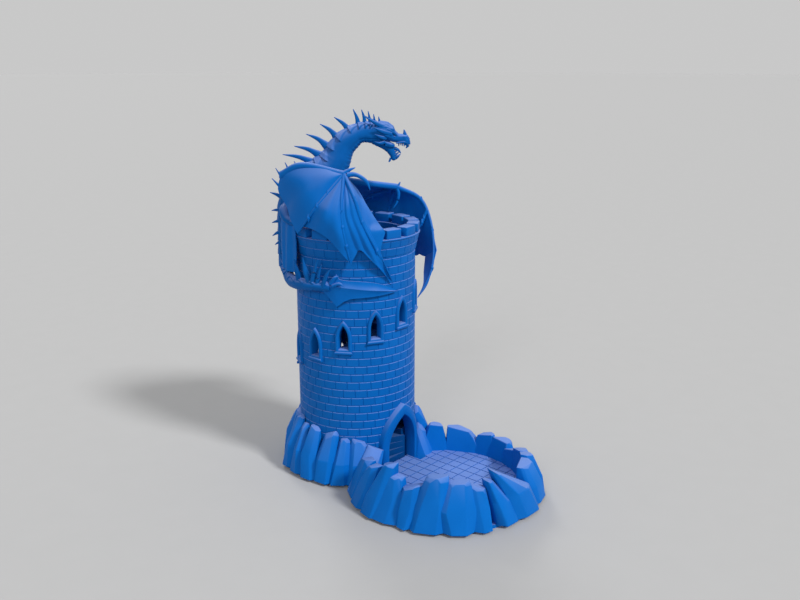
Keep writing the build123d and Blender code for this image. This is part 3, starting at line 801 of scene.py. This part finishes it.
def spineRow(name, rows, nodes):
    pieces = []
    for root, tip, radius, bow in rows:
        line = bentLine((root[0], 0, root[1]), (tip[0], 0, tip[1]), bow)
        pieces.append(horn(name, line, [radius * 1.5, radius * 0.8, radius * 0.5, 0.25], 12, 14, 0.55))
    piece = joined(pieces, name)
    return finished(softened(piece, 60), name, "crown", nodes, shadedDragonPlastic)


spineRow("neck_spine_row", neckSpines, ["neck_spines"])
spineRow("back_spine_row", backSpines, ["back_spines"])


head = {
    "square": 0.85,  # under 1 the sections are squarer
    # forward, height of the middle, half width, half height, tilt of the section in degrees
    "skull": [(15, 296, 6.6, 7.2, -6), (20.5, 297.6, 7.8, 7.6, -14), (26, 297.5, 7.9, 7.0, -20),
              (30.5, 295.2, 7.0, 6.2, -24), (34, 292.6, 5.2, 4.6, -12), (37.5, 291.2, 3.9, 3.5, -4),
              (41, 290.8, 3.8, 3.6, 0), (44, 289.6, 3.5, 4.3, -12), (46, 287.6, 2.0, 3.2, -20)],
    "jaw": [(15.5, 291.8, 4.4, 4.6, -10), (22, 289.2, 5.0, 5.0, -22), (27, 286.2, 4.6, 4.6, -35),
            (30.6, 282.4, 3.9, 3.6, -50), (32.8, 277.8, 3.2, 2.7, -70), (34.0, 274.7, 2.6, 2.6, -30),
            (36.6, 275.8, 1.8, 1.5, 20), (38.2, 276.8, 0.8, 0.7, 25)],
    # root, middle and tip of each pair of horns: forward, side, height; the root's radius
    "horns": [([(30, 4.8, 299.0), (20, 6.4, 303.4), (8.8, 6.4, 309.8)], 2.3),
              ([(31.5, 6.2, 295.2), (24, 8.8, 297.4), (16.2, 9.8, 301.0)], 2.1),
              ([(27, 6.4, 291.8), (22.6, 8.2, 292.8), (17.2, 9.0, 295.2)], 1.7),
              ([(26, 6.0, 288.6), (21.6, 7.2, 287.6), (17.2, 7.6, 289.0)], 1.5),
              ([(31.0, 1.8, 274.6), (30.2, 2.2, 272.6), (29.2, 2.4, 271.4)], 0.9)],
    "noseHorn": ([(42.4, 0, 291.5), (43.0, 0, 294.8), (42.3, 0, 298.6)], [3.0, 1.7, 0.3]),
    # brow, cheek, lip, eye and the web at the corner of the mouth, as points and radii
    "ridges": [([(36.2, 3.2, 293.6), (33.2, 5.2, 296.4), (29, 6.2, 298.6), (24, 6.6, 300.4)],
                [0.7, 1.5, 1.5, 0.6]),
               ([(33.6, 4.2, 286.6), (31, 5.0, 286.0), (28, 5.6, 287.0), (24, 5.8, 289.4)],
                [0.5, 1.2, 1.5, 0.8]),
               ([(45.6, 1.6, 286.8), (42.5, 3.3, 288.2), (39, 3.7, 288.0), (35.6, 4.2, 287.6)],
                [0.5, 0.9, 0.8, 0.7]),
               ([(33.0, 4.4, 293.0), (34.6, 4.2, 292.6)], [1.0, 0.9]),
               ([(34.0, 3.2, 285.0), (30.4, 4.0, 285.8), (26, 4.6, 286.6)], [1.3, 2.3, 2.4])],
    "teeth": [(37.6, 3.2, 0.75), (39.2, 2.6, 0.6), (40.6, 3.2, 0.65), (42.2, 3.6, 0.75)],
     # place, length, size
    "lowerTeeth": [(34.4, 279.6, 2.4, 1.6), (35.4, 277.8, 2.6, 1.6), (36.8, 276.4, 2.6, 1.4)],
     # root and lean
    "beak": ([(44.6, 0, 290), (45.9, 0, 287), (45.4, 0, 284.8), (43.9, 0, 282.9)], [2.6, 2.0, 1.2, 0.3]),
    "tongue": ([(30.5, 0, 281.2), (34, 0, 282.8), (37.4, 0, 281.4), (39.6, 0, 278.6)], [1.8, 1.6, 1.2, 0.4]),
}


def sectionLoop(forward, height, wide, high, tilt, sides, relief):
    lean = math.radians(tilt)
    loop = []
    for i in range(sides):
        angle = 2 * math.pi * i / sides
        across, up = (math.copysign(abs(v) ** head["square"], v) for v in (math.sin(angle), math.cos(angle)))
        swell = 1 + relief(angle)
        rise = up * high * swell
        loop.append(dragonPoint(forward - math.sin(lean) * rise, across * wide * swell,
                                height + math.cos(lean) * rise))
    return loop


def skullPiece():
    stations = head["skull"]
    count, sides = 56, 48
    loops = []
    for k in range(count):
        t = k / (count - 1)
        u, z, wide, high, tilt = (blendValue([s[i] for s in stations], t) for i in range(5))

        def relief(a):
            side = abs(math.atan2(math.sin(a), math.cos(a)))
            brow = 0.30 * math.exp(-((u - 32) / 2.6) ** 2) * math.exp(-((side - 0.85) / 0.3) ** 2)
            socket = -0.30 * math.exp(-((u - 33.6) / 1.5) ** 2) * math.exp(-((side - 1.3) / 0.26) ** 2)
            cheek = 0.16 * math.exp(-((u - 29) / 3.5) ** 2) * math.exp(-((side - 1.9) / 0.4) ** 2)
            ridge = 0.16 * math.exp(-(side / 0.22) ** 2)
            nostril = 0.22 * math.exp(-((u - 42.6) / 1.4) ** 2) * math.exp(-((side - 1.0) / 0.35) ** 2)
            pit = -0.25 * math.exp(-((u - 44.2) / 0.8) ** 2) * math.exp(-((side - 1.05) / 0.2) ** 2)
            folds = 0.05 * math.sin(side * 14) * math.exp(-((u - 24) / 6) ** 2)
            return brow + socket + cheek + ridge + nostril + pit + folds

        loops.append(sectionLoop(u, z, wide, high, tilt, sides, relief))
    return skin("skull", loops)


def jawPiece():
    stations = head["jaw"]
    count, sides = 30, 28
    loops = []
    for k in range(count):
        u, z, wide, high, tilt = (blendValue([s[i] for s in stations], k / (count - 1)) for i in range(5))
        ridge = 0.1 if (u * 0.9) % 1 < 0.5 else 0.04  # folds under the chin
        loops.append(sectionLoop(u, z, wide, high, tilt, sides,
                                 lambda a: ridge * max(0, -math.cos(a))))
    return skin("jaw", loops)


def bothSides(rows, width, steps, flat):  # a horn on the left and its twin on the right
    made = []
    for points, radii in rows:
        for side in (-1, 1):
            made.append(horn("horn", [(u, side * w, z) for u, w, z in points], radii, width, steps, flat))
    return made


def headPieces():
    h = head
    upper, lower = [], []
    for u, length, size in h["teeth"]:
        points = [(u, 3.0, 288.2), (u + 0.3, 3.0, 288.0 - length * 0.6), (u + 0.1, 2.8, 288.0 - length)]
        upper.append((points, [size, size * 0.6, 0.12]))
    for u, z, du, dz in h["lowerTeeth"]:
        points = [(u - 0.8, 2.2, z - 0.6), (u + du * 0.6, 2.3, z + dz * 0.6), (u + du, 2.2, z + dz)]
        lower.append((points, [0.75, 0.45, 0.12]))
    parts = [skullPiece()] + bothSides(h["ridges"], 10, 14, 1.0) + bothSides(upper, 8, 6, 1.0)
    parts.append(horn("beak", *h["beak"], 12, 12, 0.9))
    jaw = jawPiece()
    horns = bothSides(lower, 8, 6, 1.0)
    for points, radius in h["horns"]:
        horns += bothSides([(points, [radius, radius * 0.85, 0.25])], 10, 12, 0.6)
    horns.append(horn("noseHorn", *h["noseHorn"], 12, 10, 0.7))
    tongue = horn("tongue", *h["tongue"], 12, 16, 1.3)
    for piece, name, node in (
            (joined(parts, "head"), "dragon_skull", "dragon_head"),
            (jaw, "dragon_lower_jaw", "dragon_jaw"),
            (joined(horns, "horns"), "dragon_head_horns", "dragon_horns"),
            (tongue, "dragon_long_tongue", "dragon_tongue")):
        finished(softened(piece, 60), name, "crown", [node], shadedDragonPlastic)


headPieces()
print("dragon head made")

nearWing = {
    "shoulder": (-42, -8, 257), "elbow": (-61, -20, 263), "forearm": (-42, -32, 272),
    "wrist": (-8.5, -46, 266.5),
    "fingers": [
        [(-8.5, -46, 266.5), (-25.6, -52, 247), (-34.8, -51, 236), (-47.5, -41, 217.5)],
        [(-8.5, -46, 266.5), (-11, -60, 237.5), (-8.4, -62, 216), (-3.9, -57, 194.6)],
        [(-8.5, -46, 266.5), (0, -58, 247.5), (5.4, -59, 229.7), (17, -55, 205.4), (30.9, -45, 175.9)]],
    "claws": [
        ([(-9, -46, 267), (-4, -46, 270), (0.6, -46, 271.8)], [2.2, 1.4, 0.3]),
        ([(-6, -47, 266), (-0.5, -47.5, 266.5), (4.6, -50, 264.9), (9.6, -52, 261.2), (12.2, -52, 254.8)],
         [2.2, 1.9, 1.7, 1.4, 0.3])],
}
farWing = {
    "shoulder": (-42, 8, 257), "elbow": (-36, 27, 257), "forearm": (2, 29, 250.6), "wrist": (38, 38, 245),
    "fingers": [
        [(38, 38, 245), (10, 58, 232), (-8, 62, 218), (-20, 58, 203)],
        [(38, 38, 245), (33, 58, 228), (31, 58, 212), (27, 55, 196)],
        [(38, 38, 245), (52, 42, 238), (60.5, 42, 232.4), (65.6, 38, 223.5), (69.8, 30, 206.4), (73, 20, 190),
         (68.5, 14, 174.7), (63.6, 8, 160.4), (55, 4, 149.6)],
        [(65.6, 38, 223.5), (62.6, 37, 216.5), (59, 34, 208.6)]],
    "claws": [
        ([(37, 38, 244.5), (39.6, 38, 246.6), (41.2, 38, 249.4)], [2.0, 1.2, 0.3]),
        ([(38, 38, 244.5), (39.6, 37, 238), (38, 36.6, 231), (34.8, 36, 225.8)], [1.8, 1.5, 1.1, 0.3])],
}


membrane = {"thickness": 0.9, "margin": 58.0, "clearHeight": 222, "tuckHeight": 196, "tuck": 4}


# keeps a point of the dragon's frame off the crown's wall, less and less above it
def outside(point, margin=membrane["margin"]):
    m = membrane
    u, w, z = point
    least = margin if z < m["clearHeight"] else margin - (z - m["clearHeight"]) * 0.9
    least = min(least, margin - min(1.0, max(0.0, (m["tuckHeight"] - z) / 12)) * m["tuck"])
    radius = math.hypot(u, w)
    if radius < least:
        u, w = u * least / radius, w * least / radius
    return Vector((u, w, z))


# a membrane between two bones, with the free edge between their ends
def fan(first, second, edge, billow, folds=0, foldDepth=0.0, rows=26, columns=22):
    a = along([Vector(p) for p in first], rows)
    b = along([Vector(p) for p in second], rows)
    rim = along([Vector(p) for p in edge], columns)
    grid = []
    for i in range(rows):
        s = i / (rows - 1)
        line = []
        for j in range(columns):
            t = j / (columns - 1)
            flat = a[i].lerp(b[i], t)
            drift = rim[j] - a[-1].lerp(b[-1], t)
            point = flat + drift * s ** 1.6
            away = Vector((point.x, point.y, 0)).normalized()
            swell = billow * math.sin(math.pi * t) * math.sin(math.pi * min(1.0, s * 0.75 + 0.1))
            swell += foldDepth * math.sin(math.pi * 2 * folds * t) * s * math.sin(math.pi * t) if folds else 0
            point = outside(point + (away * swell + Vector((0, 0, swell * 0.3))))
            line.append(dragonPoint(*point))
        grid.append(line)
    sheet = skin("sheet", grid, closed=False, caps=False)
    modify(sheet, "SOLIDIFY", thickness=membrane["thickness"] * mm, offset=0)
    return sheet


def wing(data, name, membranes):
    arm = [horn("arm", [data["shoulder"], data["elbow"]], [4.6, 3.6, 3.4], 14, 12, 1.0),
           horn("arm", [data["elbow"], data["forearm"], data["wrist"]], [3.4, 3.2, 2.9, 2.8], 14, 24, 0.8)]
    bones = []
    for finger in data["fingers"]:
        line = [outside(Vector(p), 58.6) for p in along([Vector(q) for q in finger], 5)]
        bones.append(horn("finger", line, [2.1, 1.7, 1.4, 1.1, 0.35], 10, 40, 0.9))
        rise = Vector((0, 0, 3.2))
        bones += [horn("knuckle", [p + rise, p, p - rise], [0.5, 1.75, 0.5], 10, 9, 1.0) for p in line[1:-1]]
    claws = [horn("claw", line, radii, 10, 18, 0.85) for line, radii in data["claws"]]
    for pieces, made, node in ((arm, "_arm_bones", "_arm"), (bones, "_finger_bones", "_fingers"),
                               (claws, "_thumb_claws", "_claws"), (membranes, "_skin", "_membrane")):
        finished(softened(joined(pieces, name), 60), name + made, "crown", [name + node], litWingPlastic)


def nearPanels():
    a, b, c = nearWing["fingers"]
    wrist, elbow = nearWing["wrist"], nearWing["elbow"]
    arm = [wrist, (-25, -40, 271.5), nearWing["forearm"], (-54.8, -24, 269.5), elbow]
    front = [wrist, (2.6, -43, 252.6), (9.6, -47, 241), (16.6, -50, 230.4), (24, -52.5, 220)]
    hip = [(-59, -7, 240), (-62, -8, 230), (-63.5, -8, 214), (-63, -9, 184)]
    wallLine = [(-58, -13, 236), (-55, -20, 230), (-50.4, -28.6, 220), (-49.6, -30, 210), (-49.6, -30, 200),
                (-50, -29.4, 190), (-51, -27.8, 182)]
    return [
        fan(arm, a, [elbow, (-62.2, -19, 250), (-54.5, -25, 237), (-52, -33, 228), a[-1]], 4.5),
        fan(a, b,
            [a[-1], (-44, -40, 223.2), (-31, -53, 221.8), (-20.5, -58.5, 215), (-9, -59, 201.5), b[-1]],
            2.0, 3, 0.8),
        fan(b, c,
            [b[-1], (0, -58.5, 203), (3.5, -58.5, 207), (12, -57, 199), (21, -53, 188), c[-1]], -1.5, 3, 1.3),
        fan(c, front, [c[-1], (27, -51, 186), (22, -54, 198), (20.6, -55, 207), (24, -52.5, 220)],
            0.5, 1, 0.3),
        fan(hip, wallLine, [(-63, -9, 184), (-59, -18, 181.5), (-51, -27.8, 182)],
            1.0, 2, 1.5, 26, 24)]


def farPanels():
    a, b, c = farWing["fingers"][:3]
    arm = [farWing["wrist"], (20, 32, 247.5), farWing["forearm"], (-20, 28, 254), farWing["elbow"]]
    pocket = [(64, 31, 182), (62, 21, 171), (60.4, 10, 160), (55.2, 4.4, 150.2)]
    return [
        fan(arm, a, [farWing["elbow"], (-40, 38, 240), (-34, 50, 222), a[-1]], 5.0),
        fan(a, b, [a[-1], (-8, 61, 212), (6, 61, 212), (18, 60, 206), b[-1]], 2.5, 2, 0.8),
        fan(b, c[:6],
            [b[-1], (36, 52, 198), (46, 47, 186), (54.4, 42, 180), (58, 38, 182), (64, 31, 182), c[5]],
            2.0, 2, 0.8),
        fan(c[5:], pocket, [c[8], (55.1, 4.2, 150.0), (55.2, 4.4, 150.2)], 0.0, 0, 0, 22, 10)]


wing(nearWing, "near_wing", nearPanels())
wing(farWing, "far_wing", farPanels())
print("wings made")

blade = {
    # azimuth, lower edge, ridge, upper edge
    "rows": [(-173, 171.8, 174.6, 177.4), (-168, 170.4, 174.8, 177.8), (-163, 167.6, 175, 178.6),
             (-158, 162.6, 175.2, 181.6), (-153.6, 158.0, 175.3, 185.2), (-151, 159.6, 175.2, 181.2),
             (-147, 162.6, 174.9, 180.6), (-141.5, 164.9, 174.4, 180.1), (-135, 165.5, 173.6, 179.7),
             (-128, 165.9, 172.7, 179.1), (-120, 166.3, 171.8, 177.8), (-112, 166.9, 170.7, 175.5),
             (-105, 167.6, 169.6, 172.6), (-98, 168.3, 168.6, 169.0)],
    "rim": 55.2, "ridge": 57.6, "back": 53.6, "rings": 60,
    # radius, azimuth and height of each point, and the radii along it
    "barb": ([(57, -156, 176), (58.5, -150, 178.4), (59, -146.5, 176.6)], [1.8, 1.4, 0.3]),
    "spur": ([(56, -158, 178), (57.4, -154, 183), (57.6, -150.5, 184.6)], [2.4, 1.5, 0.3]),
}


def tailBlade():
    b = blade
    loops = []
    for k in range(b["rings"]):
        t = k / (b["rings"] - 1)
        azimuth, low, ridge, high = (blendValue([r[i] for r in b["rows"]], t) for i in range(4))
        fade = min(1.0, (1 - t) * 4 + 0.12)
        rim = b["rim"]
        crest = rim + (b["ridge"] - rim) * fade
        front = [
            (rim, low), (rim + (crest - rim) * 0.15, low + (ridge - low) * 0.35),
            (crest - 0.6, low + (ridge - low) * 0.85), (crest, ridge),
            (crest - 0.7, ridge + (high - ridge) * 0.2),
            (rim + (crest - rim) * 0.1, ridge + (high - ridge) * 0.65), (rim, high)]
        back = [(b["back"], z) for z in (high, (high + ridge) / 2, ridge, (low + ridge) / 2, low)]
        loops.append([polar(radius, azimuth, z) for radius, z in front + back])
    pieces = [skin("leaf", loops)]
    pieces += [tube("barb", [polar(*p) for p in points], radii, 10, 10) for points,
               radii in (b["barb"], b["spur"])]
    finished(softened(joined(pieces, "leaf"), 30), "tail_leaf", "crown", ["tail_blade"], litWingPlastic)


tailSpineLines = [  # root, middle and tip: azimuth and height; the root's radius
    ((150.5, 173), (149.2, 178.5), (147.8, 182.8), 1.8), ((170.2, 174), (168.6, 184.5), (166.5, 194.2), 2.7),
    ((183.5, 174), (180.0, 186.0), (178.1, 197.4), 2.9), ((185.6, 174), (189.0, 187.0), (192.9, 198.6), 2.7),
    ((190.4, 176), (193.2, 186.0), (196.3, 193.9), 2.1), ((195.0, 174), (199.4, 184.0), (203.9, 191.2), 2.3)]


def tailSpines():
    rows = []
    for root, middle, tip, radius in tailSpineLines:
        line = [polar(r, *place) for r, place in zip((58.6, 60.2, 61.2), (root, middle, tip))]
        rows.append(tube("tailSpine", line, [radius, radius * 0.8, 0.35], 12, 16, 0.6))
    spines = softened(joined(rows, "tailSpines"), 60)
    finished(spines, "tail_spine_row", "crown", ["tail_spines"], shadedDragonPlastic)


legs = {
    # forward, side and height of each point, and the radii along it
    "leg": ([(-57, 6, 234), (-59.5, 15, 232), (-57.5, 22, 226.5), (-51.5, 26, 223.8)], [5.6, 5.0, 3.4, 2.6]),
    "foot": ([(-54, 25, 224.6), (-50, 27.5, 223.8), (-46.5, 29, 223.2)], [2.2, 2.8, 1.6]),
    "claw": [(-50.5, 27, 223.8), (-46.5, 29.6, 224.6), (-43, 31, 223.6), (-41, 31.6, 221.6)],
    "clawSpread": [(0.5, 0.4), (1, 0.8), (1, 1), (1, 1)],  # how far each point goes with the spread
    "spreads": (-4, 0, 4),
}


def hindLegs():
    limbs = bothSides([legs["leg"]], 16, 24, 1.0) + bothSides([legs["foot"]], 14, 10, 1.2)
    claws = []
    for side in (-1, 1):
        for spread in legs["spreads"]:
            line = [(u + spread * du, side * (w + spread * dw), z)
                    for (u, w, z), (du, dw) in zip(legs["claw"], legs["clawSpread"])]
            claws.append(horn("claw", line, [1.8, 1.6, 1.1, 0.3], 10, 14, 0.9))
    finished(softened(joined(limbs, "legs"), 60), "dragon_hind_legs", "crown", ["hind_legs"], shadedDragonPlastic)
    finished(softened(joined(claws, "claws"), 60), "dragon_hind_claws", "crown", ["hind_claws"],
             shadedDragonPlastic)


tailBlade()
tailSpines()
hindLegs()
print("dragon finished")

stage = {
    "size": 80, "ground": (0.45, 0.45, 0.45, 1), "groundDeep": (0.435, 0.435, 0.435, 1),
    "skyWay": (0.7243, 0.6895, 0), "skyFrom": -0.5, "skyTo": 0.45, "front": 0.42, "behind": 0.58,
    # azimuth, elevation, strength and spread
    "lights": {"keyLight": (-88, 42, 2.4, 10), "fillLight": (-158, 30, 0.6, 20),
               "backLight": (60, 38, 0.8, 16)},
    "lens": 39.385, "camera": (-0.545387, -0.519194, 0.350627), "cameraTilt": 75.027, "cameraTurn": -49.37,
}


def groundSheet():
    deselectAll()
    bpy.ops.mesh.primitive_plane_add(size=stage["size"], location=(0, 0, 0))
    ground = bpy.context.object
    ground.name = "ground"
    paint = Shader("groundPaint")
    spot = paint.node("ShaderNodeTexCoord", output="Object")
    noise = paint.node("ShaderNodeTexNoise", None, {"Vector": spot, "Scale": 40.0, "Detail": 3.0})
    paint.plug(paint.mixed(noise, stage["groundDeep"], stage["ground"]), paint.surface.inputs["Base Color"])
    paint.plug(0.9, paint.surface.inputs["Roughness"])
    paint.plug(0.1, paint.surface.inputs["Specular IOR Level"])
    ground.data.materials.append(paint.owner)


def studioSky():  # a little brighter behind the tower than in front
    sky = Shader("studio", bpy.data.worlds.new("studio"))
    way = sky.node("ShaderNodeTexCoord", output="Generated")
    facing = sky.node("ShaderNodeVectorMath", {"operation": "DOT_PRODUCT"}, {0: way, 1: stage["skyWay"]},
                      "Value")
    glow = sky.node("ShaderNodeMapRange", {"interpolation_type": "SMOOTHSTEP"},
                    {0: facing, 1: stage["skyFrom"], 2: stage["skyTo"], 3: stage["front"],
                     4: stage["behind"]})
    sky.plug((1, 1, 1, 1), sky.surface.inputs["Color"])
    sky.plug(glow, sky.surface.inputs["Strength"])
    bpy.context.scene.world = sky.owner


def softSun(name, azimuth, elevation, strength, spread):
    deselectAll()
    angle = math.radians(elevation)
    place = polar(2000 * math.cos(angle), azimuth, 2000 * math.sin(angle))
    bpy.ops.object.light_add(type="SUN", location=place, rotation=place.to_track_quat("Z", "Y").to_euler())
    lamp = bpy.context.object
    lamp.name = name
    lamp.data.energy = strength
    lamp.data.angle = math.radians(spread)


groundSheet()
studioSky()
for name, light in stage["lights"].items():
    softSun(name, *light)
turned = (math.radians(stage["cameraTilt"]), 0, math.radians(stage["cameraTurn"]))
bpy.ops.object.camera_add(location=stage["camera"], rotation=turned)
camera = bpy.context.object
camera.name = "camera"
camera.data.lens = stage["lens"]
camera.data.sensor_width = 36
bpy.context.scene.camera = camera
bpy.context.scene.view_settings.view_transform = "Standard"
print("stage made")
